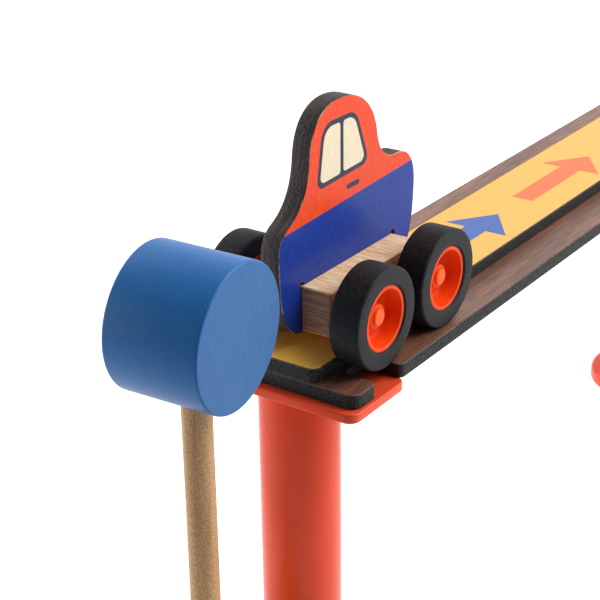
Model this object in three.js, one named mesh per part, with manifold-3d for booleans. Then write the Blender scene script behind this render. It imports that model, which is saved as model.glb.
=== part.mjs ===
// A wooden toy car at the start of a plywood track, with the hammer that knocks it away.
// Millimetres, +Z up. The origin is under the near pillar, on the floor.
// +Y runs along the track, the way the car is driven, and +X is the car's right-hand side.
import * as THREE from "three";
import { mergeVertices } from "three/addons/utils/BufferGeometryUtils.js";
import Module from "manifold-3d";

const wasm = await Module();
wasm.setup();

// Fits between pieces
const GLUE_GAP = 0.05; // glued faces
const PLUG_GAP = 0.1; // plugs and pegs in their sockets, all round
const RUN_GAP = 0.08; // shafts that turn in their bores, all round
const PRESS_GAP = 0.02; // pieces pressed together
const ROLL_GAP = 0.1; // tyres over the track

// Track: two layers of plywood
const TRACK_LENGTH = 300;
const BASE_WIDTH = 58;
const BASE_THICKNESS = 4.5;
const BASE_CORNER = 3.4;
const STRIP_WIDTH = 32;
const STRIP_THICKNESS = 4.4;
const STRIP_CORNER = 3;

// Notch in each side of the base board, for the parked car's rear wheels
const NOTCH_LENGTH = 12.6;
const NOTCH_LEAD = 2.4; // how far the notch's middle lies behind the rear axle
const NOTCH_INSET = 2; // board left between the notch and the strip
const NOTCH_ROUND = 2;

// Pillars
const PILLAR_HEIGHT = 120; // floor to the underside of the track
const PILLAR_SETBACK = 14.6; // pillar's axis from the track's end
const FLANGE_LIP = 1.1; // flange past the board's sides
const FLANGE_FRONT = 2.7; // flange past the board's end
const FLANGE_LENGTH = 27.6;
const FLANGE_THICKNESS = 2.9;
const FLANGE_EDGE = 0.6; // edge rounding
const FLANGE_CORNER = 3.5;
const TUBE_RADIUS = 12;
const TUBE_WALL = 1.8;
const PLUG_LENGTH = 12;
const PEG_RADIUS = 2.5;
const PEG_HEIGHT = 3;
const PEG_SPACING = 22;
const FOOT_RADIUS = 26;
const FOOT_THICKNESS = 5;
const FOOT_EDGE = 2;

// Car
const REAR_AXLE = 19.6; // rear axle from the track's near end
const WHEELBASE = 33.4;
const CHASSIS_WIDTH = 25;
const CHASSIS_HEIGHT = 13.6;
const CHASSIS_OVERHANG = 7; // block past each axle
const CHASSIS_CORNER = 1;
const CHASSIS_EDGE = 0.4;
const AXLE_RADIUS = 1.5;

// Wheels
const WHEEL_RADIUS = 15;
const TYRE_WIDTH = 9.8;
const TYRE_SHOULDER = 1.1;
const RIM_INSET = 0.5; // rim's face below the tyre's outer side
const TYRE_CLEARANCE = 0.8; // tyre's inner side to the strip
const SEAT_RADIUS = 9.3; // the hub's barrel, under the tyre
const RIM_RADIUS = 9.7;
const RIM_WIDTH = 1;
const RIM_WALL = 0.8;
const RIM_EDGE = 0.3;
const DISH_DRAFT = 0.6; // taper of the dish's wall
const WEB_DEPTH = 4.6; // dish, from the rim's face to the web
const WEB_THICKNESS = 1.4;
const BOSS_RADIUS = 3.6;
const BOSS_DEPTH = 2.7; // boss below the rim's face
const BOSS_PLAY = 0.4; // hub to chassis
const CAP_RADIUS = 2.5;
const CAP_HEIGHT = 0.9;
const CAP_EDGE = 0.35;
const AXLE_IN_CAP = 0.5; // axle's end past the boss's face

// The car's body plate, two plies side by side
const PLY_THICKNESS = 3;
const LEG_CLEARANCE = 3.5; // plate's feet over the strip
const TAIL_OVERHANG = 17.8; // plate behind the rear axle
const NOSE_OVERHANG = 19.1; // plate ahead of the front axle
const BOOT_HEIGHT = 41.2; // heights are above the base board
const BONNET_HEIGHT = 46.9;
const ROOF_HEIGHT = 71.6;
const CAB_BACK = 2.9; // cab's back behind the rear axle
const CAB_FRONT = 2; // cab's front behind the front axle
const CROWN_FROM_BACK = 14.8; // roof's highest point from the cab's back
const RELIEF_RADIUS = 1.1; // cutter's round in the slot's corners

// Hammer
const HAMMER_STANDOFF = 32.1; // handle before the track's end
const HEAD_HEIGHT = 26.6; // head's axis above the base board
const HEAD_RADIUS = 20.5;
const HEAD_LENGTH = 28.5;
const HEAD_EDGE = 1;
const HEAD_TURN = THREE.MathUtils.degToRad(5.8); // head turned on its handle
const HEAD_TILT = THREE.MathUtils.degToRad(1.7); // left end a little higher
const HANDLE_RADIUS = 4.2;
const HANDLE_IN_HEAD = 24;
const PIVOT_HEIGHT = 14;
const PIN_RADIUS = 2;
const PIN_INSET = 1; // pin's ends inside the block
const HAMMER_BASE_WIDTH = 46;
const HAMMER_BASE_HEIGHT = 24;
const HAMMER_BASE_FRONT = 16; // block ahead of the pivot
const HAMMER_BASE_BACK = 34; // block behind the pivot
const HAMMER_BASE_CORNER = 6;
const HAMMER_BASE_EDGE = 1.5;
const SLOT_PLAY = 0.5; // handle to each side of the slot
const SLOT_UNDER = 2; // room under the handle's round end

// Places that follow from the sizes above
const TRACK_NEAR = -PILLAR_SETBACK;
const BOARD_TOP = PILLAR_HEIGHT + BASE_THICKNESS;
const AXLE_HEIGHT = WHEEL_RADIUS + ROLL_GAP; // above the base board
const TYRE_INNER = STRIP_WIDTH / 2 + TYRE_CLEARANCE; // wheel's inner face from the centre line
const RIM_FACE = TYRE_WIDTH - RIM_INSET; // along the wheel, from its inner face
const BOSS_FACE = RIM_FACE - BOSS_DEPTH;

// Finishes
const finish = {
  brownPly: { color: 0x6b4632, roughness: 0.6, metalness: 0 },
  yellowPly: { color: 0xf3c25c, roughness: 0.5, metalness: 0 },
  orangePly: { color: 0xf2532a, roughness: 0.45, metalness: 0 },
  paleWood: { color: 0xd8a87c, roughness: 0.65, metalness: 0 },
  bluePaint: { color: 0x3b72b8, roughness: 0.5, metalness: 0 },
  orangePlastic: { color: 0xe84a24, roughness: 0.35, metalness: 0 },
  blackRubber: { color: 0x26282a, roughness: 0.7, metalness: 0 },
  steel: { color: 0xb4b6b8, roughness: 0.3, metalness: 1 },
};

const ROUND = 28; // steps round a wheel, tube or dowel
const HEAD_STEPS = 44; // steps round the hammer's head
const PEG_STEPS = 12; // steps round a peg or a cutter's relief
const CURVE = 5; // steps along a round corner
const PLATE_CURVE = 8; // steps along each curve of the car's side view

// Closed triangles of a geometry, with shared corners and the faces pointing out
function closedMesh(geometry) {
  const bare = geometry.clone();
  bare.deleteAttribute("normal");
  bare.deleteAttribute("uv");
  const merged = mergeVertices(bare, 1e-4);
  const points = merged.getAttribute("position").array;
  const corners = merged.index.array;
  const kept = [];
  let volume = 0;
  const a = new THREE.Vector3();
  const b = new THREE.Vector3();
  const c = new THREE.Vector3();
  for (let i = 0; i < corners.length; i += 3) {
    const [p, q, r] = corners.slice(i, i + 3);
    if (p === q || q === r || r === p) continue;
    kept.push(p, q, r);
    a.fromArray(points, 3 * p);
    b.fromArray(points, 3 * q);
    c.fromArray(points, 3 * r);
    volume += a.dot(b.cross(c));
  }
  if (volume < 0) kept.reverse();
  return { points: Float32Array.from(points), corners: Uint32Array.from(kept) };
}

function toManifold(geometry) {
  const { points, corners } = closedMesh(geometry);
  const mesh = new wasm.Mesh({ numProp: 3, vertProperties: points, triVerts: corners });
  return new wasm.Manifold(mesh);
}

function fromManifold(manifold) {
  const mesh = manifold.getMesh();
  const geometry = new THREE.BufferGeometry();
  geometry.setAttribute("position", new THREE.Float32BufferAttribute(mesh.vertProperties, 3));
  geometry.setIndex(new THREE.BufferAttribute(mesh.triVerts, 1));
  geometry.computeVertexNormals();
  return geometry;
}

function join(first, ...others) {
  const whole = others.reduce((sum, next) => sum.add(toManifold(next)), toManifold(first));
  return fromManifold(whole);
}

function cut(first, ...tools) {
  const rest = tools.reduce((left, tool) => left.subtract(toManifold(tool)), toManifold(first));
  return fromManifold(rest);
}

// Revolves [radius, height] points about Z
function turned(profile, steps = ROUND) {
  const points = profile.map(([radius, height]) => new THREE.Vector2(radius, height));
  return new THREE.LatheGeometry(points, steps).rotateX(Math.PI / 2);
}

// Revolves a closed loop of [radius, height] points about Z
function turnedRing(loop, steps = ROUND) {
  return turned([...loop, loop[0]], steps);
}

// Rod along Z
function rod(radius, length, steps = ROUND) {
  return new THREE.CylinderGeometry(radius, radius, length, steps).rotateX(Math.PI / 2);
}

// Turns a piece made along Z so that it lies along +X
function alongX(geometry) {
  return geometry.rotateY(Math.PI / 2);
}

// Points of a quarter round between two directions, as [radius, height] pairs
function quarter(centre, radius, from, steps = 3) {
  const pairs = [];
  for (let i = 0; i <= steps; i += 1) {
    const angle = from + (i / steps) * (Math.PI / 2);
    pairs.push([centre[0] + radius * Math.cos(angle), centre[1] + radius * Math.sin(angle)]);
  }
  return pairs;
}

// Rectangle with round corners, between two opposite corners
function roundedRectangle(x0, y0, x1, y1, radius) {
  const shape = new THREE.Shape();
  shape.moveTo(x0 + radius, y0);
  shape.lineTo(x1 - radius, y0);
  shape.absarc(x1 - radius, y0 + radius, radius, -Math.PI / 2, 0);
  shape.lineTo(x1, y1 - radius);
  shape.absarc(x1 - radius, y1 - radius, radius, 0, Math.PI / 2);
  shape.lineTo(x0 + radius, y1);
  shape.absarc(x0 + radius, y1 - radius, radius, Math.PI / 2, Math.PI);
  shape.lineTo(x0, y0 + radius);
  shape.absarc(x0 + radius, y0 + radius, radius, Math.PI, 1.5 * Math.PI);
  return shape;
}

// Board cut from an outline, lying on z = 0
function board(shape, thickness, steps = CURVE) {
  return new THREE.ExtrudeGeometry(shape, { depth: thickness, bevelEnabled: false, curveSegments: steps });
}

// Board whose long edges are rounded, inside the same outline
function softBoard(shape, thickness, edge, steps = CURVE, edgeSteps = 2) {
  const slab = new THREE.ExtrudeGeometry(shape, {
    depth: thickness - 2 * edge,
    bevelThickness: edge,
    bevelSize: edge,
    bevelOffset: -edge,
    bevelSegments: edgeSteps,
    curveSegments: steps,
  });
  return slab.translate(0, 0, edge);
}

function piece(name, geometry, look) {
  const mesh = new THREE.Mesh(geometry, new THREE.MeshStandardMaterial(look));
  mesh.name = name;
  return mesh;
}

// Outline of the base board from above, with y from the track's near end
function baseOutline() {
  const side = BASE_WIDTH / 2;
  const inner = STRIP_WIDTH / 2 + NOTCH_INSET;
  const near = REAR_AXLE - NOTCH_LEAD - NOTCH_LENGTH / 2;
  const far = near + NOTCH_LENGTH;
  const r = NOTCH_ROUND;
  const c = BASE_CORNER;
  const edge = new THREE.Path();
  edge.moveTo(0, 0);
  edge.lineTo(side - c, 0);
  edge.absarc(side - c, c, c, -Math.PI / 2, 0);
  edge.lineTo(side, near - r);
  edge.absarc(side - r, near - r, r, 0, Math.PI / 2);
  edge.lineTo(inner + r, near);
  edge.absarc(inner + r, near + r, r, -Math.PI / 2, -Math.PI, true);
  edge.lineTo(inner, far - r);
  edge.absarc(inner + r, far - r, r, Math.PI, Math.PI / 2, true);
  edge.lineTo(side - r, far);
  edge.absarc(side - r, far + r, r, -Math.PI / 2, 0);
  edge.lineTo(side, TRACK_LENGTH - c);
  edge.absarc(side - c, TRACK_LENGTH - c, c, 0, Math.PI / 2);
  edge.lineTo(0, TRACK_LENGTH);
  const right = edge.getPoints(CURVE);
  const left = right.slice(1, -1).map((point) => new THREE.Vector2(-point.x, point.y));
  return new THREE.Shape([...right, ...left.reverse()]);
}

// The track: base board on the pillars, printed strip glued along its middle
function makeTrack() {
  const track = new THREE.Group();
  track.position.set(0, TRACK_NEAR, PILLAR_HEIGHT);
  const pegHoles = [];
  for (const y of [PILLAR_SETBACK, TRACK_LENGTH - PILLAR_SETBACK]) {
    for (const x of [-PEG_SPACING / 2, PEG_SPACING / 2]) {
      const depth = PEG_HEIGHT + PLUG_GAP;
      pegHoles.push(rod(PEG_RADIUS + PLUG_GAP, 2 * depth, PEG_STEPS).translate(x, y, 0));
    }
  }
  const base = cut(board(baseOutline(), BASE_THICKNESS), ...pegHoles);
  track.add(piece("track_base", base, finish.brownPly));
  const half = STRIP_WIDTH / 2;
  const outline = roundedRectangle(-half, 0, half, TRACK_LENGTH, STRIP_CORNER);
  const strip = piece("track_strip", board(outline, STRIP_THICKNESS), finish.yellowPly);
  strip.position.z = BASE_THICKNESS + GLUE_GAP;
  track.add(strip);
  return track;
}

// A pillar on the floor at its own origin, with the track's end towards -Y
function makePillar(name) {
  const pillar = new THREE.Group();
  const bore = TUBE_RADIUS - TUBE_WALL;
  const plug = bore - PLUG_GAP;
  const top = PILLAR_HEIGHT - GLUE_GAP;
  const under = top - FLANGE_THICKNESS;

  const halfWidth = BASE_WIDTH / 2 + FLANGE_LIP;
  const front = -PILLAR_SETBACK - FLANGE_FRONT;
  const outline = roundedRectangle(-halfWidth, front, halfWidth, front + FLANGE_LENGTH, FLANGE_CORNER);
  const flange = softBoard(outline, FLANGE_THICKNESS, FLANGE_EDGE).translate(0, 0, under);
  const sink = FLANGE_THICKNESS / 2;
  const stem = rod(plug, PLUG_LENGTH + sink).translate(0, 0, under + sink / 2 - PLUG_LENGTH / 2);
  const pegs = [-PEG_SPACING / 2, PEG_SPACING / 2].map((x) => {
    const length = PEG_HEIGHT + sink;
    return rod(PEG_RADIUS, length, PEG_STEPS).translate(x, 0, top + PEG_HEIGHT - length / 2);
  });
  pillar.add(piece(`${name}_cap`, join(flange, stem, ...pegs), finish.orangePlastic));

  const low = FOOT_THICKNESS + GLUE_GAP;
  const high = under - GLUE_GAP;
  const tube = turnedRing([[bore, low], [TUBE_RADIUS, low], [TUBE_RADIUS, high], [bore, high]]);
  pillar.add(piece(`${name}_tube`, tube, finish.orangePlastic));

  const foot = turned([
    [0, 0],
    [FOOT_RADIUS, 0],
    ...quarter([FOOT_RADIUS - FOOT_EDGE, FOOT_THICKNESS - FOOT_EDGE], FOOT_EDGE, 0),
    [plug, FOOT_THICKNESS],
    [plug, FOOT_THICKNESS + PLUG_LENGTH],
    [0, FOOT_THICKNESS + PLUG_LENGTH],
  ]);
  pillar.add(piece(`${name}_foot`, foot, finish.orangePlastic));
  return pillar;
}

// Side view of the car's body plate: x along the car from the rear axle, y up from the base board
function plateOutline() {
  const tail = -TAIL_OVERHANG;
  const nose = WHEELBASE + NOSE_OVERHANG;
  const foot = STRIP_THICKNESS + LEG_CLEARANCE;
  const slotRear = -CHASSIS_OVERHANG - GLUE_GAP;
  const slotFront = WHEELBASE + CHASSIS_OVERHANG + GLUE_GAP;
  const slotTop = AXLE_HEIGHT + CHASSIS_HEIGHT / 2 + GLUE_GAP;
  const back = -CAB_BACK;
  const front = WHEELBASE - CAB_FRONT;
  const crown = back + CROWN_FROM_BACK;
  const waist = (BOOT_HEIGHT + ROOF_HEIGHT) / 2;
  const brow = (BONNET_HEIGHT + ROOF_HEIGHT) / 2;
  const plate = new THREE.Shape();
  plate.moveTo(slotRear, foot);
  plate.bezierCurveTo(slotRear - 6, foot, tail + 1.5, foot + 5.5, tail + 0.5, foot + 14);
  plate.lineTo(tail, BOOT_HEIGHT - 7.7);
  plate.bezierCurveTo(tail, BOOT_HEIGHT - 3.7, tail + 1.5, BOOT_HEIGHT - 1.7, tail + 4.6, BOOT_HEIGHT);
  plate.bezierCurveTo(back - 3.7, BOOT_HEIGHT + 3, back - 0.8, waist - 6.5, back, waist);
  plate.bezierCurveTo(back + 0.6, ROOF_HEIGHT - 5.1, crown - 8.5, ROOF_HEIGHT, crown, ROOF_HEIGHT);
  plate.bezierCurveTo(crown + 11, ROOF_HEIGHT, front - 1.4, brow + 6, front, brow - 2);
  plate.bezierCurveTo(
    front + 1.2, BONNET_HEIGHT + 3.6, front + 4, BONNET_HEIGHT, front + 10.5, BONNET_HEIGHT,
  );
  plate.bezierCurveTo(nose - 4, BONNET_HEIGHT, nose, BONNET_HEIGHT - 4, nose, BONNET_HEIGHT - 11.3);
  plate.bezierCurveTo(nose - 0.2, BONNET_HEIGHT - 20, nose - 1.4, foot + 13.5, nose - 3, foot + 10);
  plate.bezierCurveTo(nose - 5, foot + 3, slotFront + 4.5, foot, slotFront, foot);
  plate.lineTo(slotFront, slotTop);
  plate.lineTo(slotRear, slotTop);
  return plate;
}

// One wheel along Z, from its inner face at z = 0 to its outer face
function makeWheel(name) {
  const wheel = new THREE.Group();
  const bore = AXLE_RADIUS + PRESS_GAP;
  const dish = SEAT_RADIUS - RIM_WALL;
  const webOut = RIM_FACE - WEB_DEPTH;
  const webIn = webOut - WEB_THICKNESS;
  const bossIn = CHASSIS_WIDTH / 2 + BOSS_PLAY - TYRE_INNER;
  const hub = turnedRing([
    [bore, bossIn],
    [BOSS_RADIUS, bossIn],
    [BOSS_RADIUS, webIn],
    [dish, webIn],
    [dish, 0],
    [SEAT_RADIUS, 0],
    [SEAT_RADIUS, RIM_FACE - RIM_WIDTH],
    [RIM_RADIUS, RIM_FACE - RIM_WIDTH],
    ...quarter([RIM_RADIUS - RIM_EDGE, RIM_FACE - RIM_EDGE], RIM_EDGE, 0, 1),
    [dish, RIM_FACE],
    [dish - DISH_DRAFT, webOut],
    [BOSS_RADIUS, webOut],
    [BOSS_RADIUS, BOSS_FACE],
    [bore, BOSS_FACE],
  ]);
  wheel.add(piece(`${name}_hub`, hub, finish.orangePlastic));

  const seat = SEAT_RADIUS + PRESS_GAP;
  const lip = RIM_RADIUS + PRESS_GAP;
  const shoulder = WHEEL_RADIUS - TYRE_SHOULDER;
  const tyre = turnedRing([
    [seat, 0],
    ...quarter([shoulder, TYRE_SHOULDER], TYRE_SHOULDER, -Math.PI / 2),
    ...quarter([shoulder, TYRE_WIDTH - TYRE_SHOULDER], TYRE_SHOULDER, 0),
    [lip + RIM_INSET, TYRE_WIDTH],
    [lip, RIM_FACE],
    [lip, RIM_FACE - RIM_WIDTH - PRESS_GAP],
    [seat, RIM_FACE - RIM_WIDTH - PRESS_GAP],
  ]);
  wheel.add(piece(`${name}_tyre`, tyre, finish.blackRubber));

  const capTop = BOSS_FACE + CAP_HEIGHT;
  const axleEnd = BOSS_FACE + AXLE_IN_CAP;
  const cap = turned([
    [0, axleEnd + PRESS_GAP],
    [bore, axleEnd + PRESS_GAP],
    [bore, BOSS_FACE + PRESS_GAP],
    [CAP_RADIUS, BOSS_FACE + PRESS_GAP],
    ...quarter([CAP_RADIUS - CAP_EDGE, capTop - CAP_EDGE], CAP_EDGE, 0, 1),
    [0, capTop],
  ]);
  wheel.add(piece(`${name}_cap`, cap, finish.orangePlastic));
  return wheel;
}

// An axle with a wheel on each end, turning about X through its own origin
function makeWheelset(name) {
  const wheelset = new THREE.Group();
  const axleEnd = TYRE_INNER + BOSS_FACE + AXLE_IN_CAP;
  wheelset.add(piece(`${name}_axle`, alongX(rod(AXLE_RADIUS, 2 * axleEnd)), finish.steel));
  for (const [side, direction] of [["left", -1], ["right", 1]]) {
    const wheel = makeWheel(`${name}_${side}`);
    wheel.position.x = direction * TYRE_INNER;
    wheel.rotation.y = direction * (Math.PI / 2);
    wheelset.add(wheel);
  }
  wheelset.position.z = AXLE_HEIGHT;
  return wheelset;
}

// The car, parked with its rear axle over its own origin and its wheels on the base board
function makeCar() {
  const car = new THREE.Group();
  car.position.set(0, TRACK_NEAR + REAR_AXLE, BOARD_TOP);

  const halfWidth = CHASSIS_WIDTH / 2;
  const blockEnd = WHEELBASE + CHASSIS_OVERHANG;
  const outline = roundedRectangle(-halfWidth, -CHASSIS_OVERHANG, halfWidth, blockEnd, CHASSIS_CORNER);
  const block = softBoard(outline, CHASSIS_HEIGHT, CHASSIS_EDGE, 2, 1).translate(0, 0, -CHASSIS_HEIGHT / 2);
  const bores = [0, WHEELBASE].map((y) => {
    return alongX(rod(AXLE_RADIUS + RUN_GAP, 2 * CHASSIS_WIDTH)).translate(0, y, 0);
  });
  const chassis = piece("car_chassis", cut(block, ...bores), finish.paleWood);
  chassis.position.z = AXLE_HEIGHT;
  car.add(chassis);

  const slotTop = AXLE_HEIGHT + CHASSIS_HEIGHT / 2 + GLUE_GAP;
  const slotEnds = [-CHASSIS_OVERHANG - GLUE_GAP, blockEnd + GLUE_GAP];
  for (const [side, start] of [["left", -PLY_THICKNESS - GLUE_GAP / 2], ["right", GLUE_GAP / 2]]) {
    const reliefs = slotEnds.map((x) => {
      return rod(RELIEF_RADIUS, 4 * PLY_THICKNESS, PEG_STEPS).translate(x, slotTop, 0);
    });
    const ply = cut(board(plateOutline(), PLY_THICKNESS, PLATE_CURVE), ...reliefs);
    const upright = new THREE.Matrix4().makeBasis(
      new THREE.Vector3(0, 1, 0),
      new THREE.Vector3(0, 0, 1),
      new THREE.Vector3(1, 0, 0),
    );
    const plate = piece(`car_plate_${side}`, ply.applyMatrix4(upright), finish.orangePly);
    plate.position.x = start;
    car.add(plate);
  }

  const rear = makeWheelset("rear");
  const front = makeWheelset("front");
  front.position.y = WHEELBASE;
  car.add(rear, front);
  return car;
}

// The hammer on its pivot, with the pivot's axis along X
function makeHammer() {
  const hammer = new THREE.Group();
  hammer.position.set(0, TRACK_NEAR - HAMMER_STANDOFF, PIVOT_HEIGHT);
  const headCentre = BOARD_TOP + HEAD_HEIGHT - PIVOT_HEIGHT;
  const headUnder = headCentre - HEAD_RADIUS;
  const handleTop = headUnder + HANDLE_IN_HEAD;

  const halfLength = HEAD_LENGTH / 2;
  const barrel = turned([
    [0, -halfLength],
    ...quarter([HEAD_RADIUS - HEAD_EDGE, HEAD_EDGE - halfLength], HEAD_EDGE, -Math.PI / 2, 2),
    ...quarter([HEAD_RADIUS - HEAD_EDGE, halfLength - HEAD_EDGE], HEAD_EDGE, 0, 2),
    [0, halfLength],
  ], HEAD_STEPS);
  const socketDepth = HANDLE_IN_HEAD + GLUE_GAP;
  const socket = rod(HANDLE_RADIUS + GLUE_GAP, 2 * socketDepth).translate(0, 0, -HEAD_RADIUS);
  const leaning = alongX(barrel).rotateY(HEAD_TILT).rotateZ(HEAD_TURN);
  const head = piece("hammer_head", cut(leaning, socket), finish.bluePaint);
  head.position.z = headCentre;
  hammer.add(head);

  const dowel = turned([
    [0, -HANDLE_RADIUS],
    ...quarter([0, 0], HANDLE_RADIUS, -Math.PI / 2, 5).slice(1),
    [HANDLE_RADIUS, handleTop],
    [0, handleTop],
  ]);
  const pinHole = alongX(rod(PIN_RADIUS + RUN_GAP, 4 * HANDLE_RADIUS));
  hammer.add(piece("hammer_handle", cut(dowel, pinHole), finish.paleWood));

  const pinLength = HAMMER_BASE_WIDTH - 2 * PIN_INSET;
  hammer.add(piece("hammer_pin", alongX(rod(PIN_RADIUS, pinLength)), finish.steel));

  const halfWidth = HAMMER_BASE_WIDTH / 2;
  const outline = roundedRectangle(
    -halfWidth, -HAMMER_BASE_BACK, halfWidth, HAMMER_BASE_FRONT, HAMMER_BASE_CORNER,
  );
  const block = softBoard(outline, HAMMER_BASE_HEIGHT, HAMMER_BASE_EDGE).translate(0, 0, -PIVOT_HEIGHT);
  const slotFloor = -HANDLE_RADIUS - SLOT_UNDER;
  const slotHeight = 2 * HAMMER_BASE_HEIGHT;
  const slotLength = 2 * (HAMMER_BASE_FRONT + HAMMER_BASE_BACK);
  const slot = new THREE.BoxGeometry(2 * (HANDLE_RADIUS + SLOT_PLAY), slotLength, slotHeight);
  slot.translate(0, 0, slotFloor + slotHeight / 2);
  const pinBore = alongX(rod(PIN_RADIUS + PRESS_GAP, 2 * HAMMER_BASE_WIDTH));
  hammer.add(piece("hammer_base", cut(block, slot, pinBore), finish.paleWood));
  return hammer;
}

const nearPillar = makePillar("near_pillar");
const farPillar = makePillar("far_pillar");
farPillar.position.y = TRACK_LENGTH - 2 * PILLAR_SETBACK;
farPillar.rotation.z = Math.PI;

const toy = new THREE.Group();
toy.add(makeTrack(), nearPillar, farPillar, makeCar(), makeHammer());

export default toy;
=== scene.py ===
# %% [markdown]
# # A wooden toy car on its launch track
# The real toy is a straight plywood track on orange pillars, a small wooden car that rolls along it, and
# a hammer that knocks the car away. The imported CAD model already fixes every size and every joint, so
# this lesson adds what the eye wants: softened edges, print, wood grain, rubber and moulded plastic.
# The model is loaded first, so that every later cell works in the same metres and on the same axes:
# X across the track, Y along it and Z up.

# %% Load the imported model
import math

import bmesh
import bpy
from mathutils import Matrix, Vector


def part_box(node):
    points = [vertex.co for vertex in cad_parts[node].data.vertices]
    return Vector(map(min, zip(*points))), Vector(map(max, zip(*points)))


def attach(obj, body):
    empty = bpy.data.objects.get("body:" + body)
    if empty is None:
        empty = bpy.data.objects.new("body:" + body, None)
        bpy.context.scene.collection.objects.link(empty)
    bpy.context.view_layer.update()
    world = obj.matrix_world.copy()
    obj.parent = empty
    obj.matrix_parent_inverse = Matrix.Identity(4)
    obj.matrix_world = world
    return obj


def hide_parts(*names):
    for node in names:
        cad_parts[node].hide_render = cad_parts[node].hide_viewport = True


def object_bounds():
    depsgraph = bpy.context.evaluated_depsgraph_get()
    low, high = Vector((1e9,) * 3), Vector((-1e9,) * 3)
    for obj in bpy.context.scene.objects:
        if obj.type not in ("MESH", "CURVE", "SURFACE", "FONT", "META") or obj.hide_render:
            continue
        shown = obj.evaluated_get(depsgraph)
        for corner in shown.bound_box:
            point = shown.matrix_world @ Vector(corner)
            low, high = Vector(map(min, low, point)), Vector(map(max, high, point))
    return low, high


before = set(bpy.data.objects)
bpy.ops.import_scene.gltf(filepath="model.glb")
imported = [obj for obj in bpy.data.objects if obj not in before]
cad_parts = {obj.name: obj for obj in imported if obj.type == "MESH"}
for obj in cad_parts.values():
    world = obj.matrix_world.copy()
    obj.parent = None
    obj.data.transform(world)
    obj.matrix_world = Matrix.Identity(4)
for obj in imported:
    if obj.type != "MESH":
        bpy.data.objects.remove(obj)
cad_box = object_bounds()
scene = bpy.context.scene
print("CAD box in metres:", [[round(value, 4) for value in corner] for corner in cad_box])

# %% [markdown]
# ## Camera
# The toy is looked at from a little above, past the hammer and along the track, through a long lens that
# keeps the far end of the track large. Such a camera could be aimed by a constraint at a target, but
# plain numbers for its place and angles are easier to read back and compare.

# %% Camera
SENSOR_WIDTH = 36
LENS = 93.26
CAMERA_PLACE = (0.2319, -0.3250, 0.3222)
CAMERA_ANGLES = (65.555, 0.804, 35.057)
camera = bpy.data.objects.new("catalogue_camera", bpy.data.cameras.new("catalogue_camera"))
camera.data.sensor_width = SENSOR_WIDTH
camera.data.lens = LENS
camera.data.clip_start = 0.01
camera.location = CAMERA_PLACE
camera.rotation_euler = [math.radians(angle) for angle in CAMERA_ANGLES]
scene.collection.objects.link(camera)
scene.camera = camera
print("camera at", CAMERA_PLACE, "in metres, with a", LENS, "mm lens")

# %% [markdown]
# ## Colours and nodes
# Paint charts give colours as sRGB hex values, while Blender's light works in linear values, so one
# function turns the one into the other. Every finish below is a small node tree. Each node could be made
# by hand in several lines; one function that adds a node, fills its sockets and passes its result on
# keeps a tree readable from top to bottom.

# %% Colour and node helpers
MM = 0.001


def linear(code):
    """Linear RGBA of an sRGB hex colour."""
    channels = [int(code[start:start + 2], 16) / 255 for start in (1, 3, 5)]
    values = [c / 12.92 if c <= 0.04045 else ((c + 0.055) / 1.055) ** 2.4 for c in channels]
    return (*values, 1.0)


def add(tree, kind, inputs=None, feeds=None, **settings):
    """Add one node. An input is a value, a hex colour or a socket; the first output can feed a socket."""
    node = tree.nodes.new(kind)
    for name, value in settings.items():
        setattr(node, name, value)
    for socket, value in (inputs or {}).items():
        if isinstance(value, bpy.types.NodeSocket):
            tree.links.new(value, node.inputs[socket])
        elif isinstance(value, str):
            node.inputs[socket].default_value = linear(value)
        else:
            node.inputs[socket].default_value = value
    if feeds is not None:
        tree.links.new(node.outputs[0], feeds)
    return node


print("mid grey #808080 is", round(linear("#808080")[0], 3), "in linear light")

# %% [markdown]
# ## Floor and light
# A product photographer stands a toy like this on a pale sweep that is lit from below until it is white,
# with a bright wall behind and soft panels round it. Lamps alone would leave black gaps in the
# reflections, so the world is a dim tent with one bright back wall, and five panels add the brighter
# patches. The light in the sweep fades towards the camera, so that nothing glares from in front.

# %% Floor
FLOOR_HALF = 4.0
FLOOR_DROP = 0.2 * MM
sweep = bmesh.new()
bmesh.ops.create_grid(sweep, x_segments=8, y_segments=8, size=FLOOR_HALF)
floor_mesh = bpy.data.meshes.new("white_floor")
sweep.to_mesh(floor_mesh)
sweep.free()
floor = bpy.data.objects.new("white_floor", floor_mesh)
floor.location.z = cad_box[0].z - FLOOR_DROP
scene.collection.objects.link(floor)
print("floor", 2 * FLOOR_HALF, "m wide at Z", round(floor.location.z, 4))

# %% Paper of the floor
# Matt paper mirrors nothing, and its own light hides the horizon and most of the shadows.
VIEW_HEADING = math.radians(35)
FADE_NEAR = -0.3
FADE_FAR = 0.05
NEAR_GLOW = 0.14
FAR_GLOW = 0.9
paper = bpy.data.materials.new("matt_white_paper_sweep")
paper.use_nodes = True
sheet = paper.node_tree
paper_shader = sheet.nodes["Principled BSDF"]
paper_shader.inputs["Base Color"].default_value = linear("#a4a4a4")
paper_shader.inputs["Roughness"].default_value = 0.9
paper_shader.inputs["Emission Color"].default_value = linear("#ffffff")
away = Vector((-math.sin(VIEW_HEADING), math.cos(VIEW_HEADING), 0))
spot = add(sheet, "ShaderNodeTexCoord").outputs["Object"]
depth = add(sheet, "ShaderNodeVectorMath", {0: spot, 1: away}, operation="DOT_PRODUCT")
add(sheet, "ShaderNodeMapRange", {
    "Value": depth.outputs["Value"],
    "From Min": FADE_NEAR,
    "From Max": FADE_FAR,
    "To Min": NEAR_GLOW,
    "To Max": FAR_GLOW,
}, paper_shader.inputs["Emission Strength"], interpolation_type="SMOOTHSTEP")
floor_mesh.materials.append(paper)
print(paper.name, "fades over", round(FADE_FAR - FADE_NEAR, 2), "m")

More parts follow.
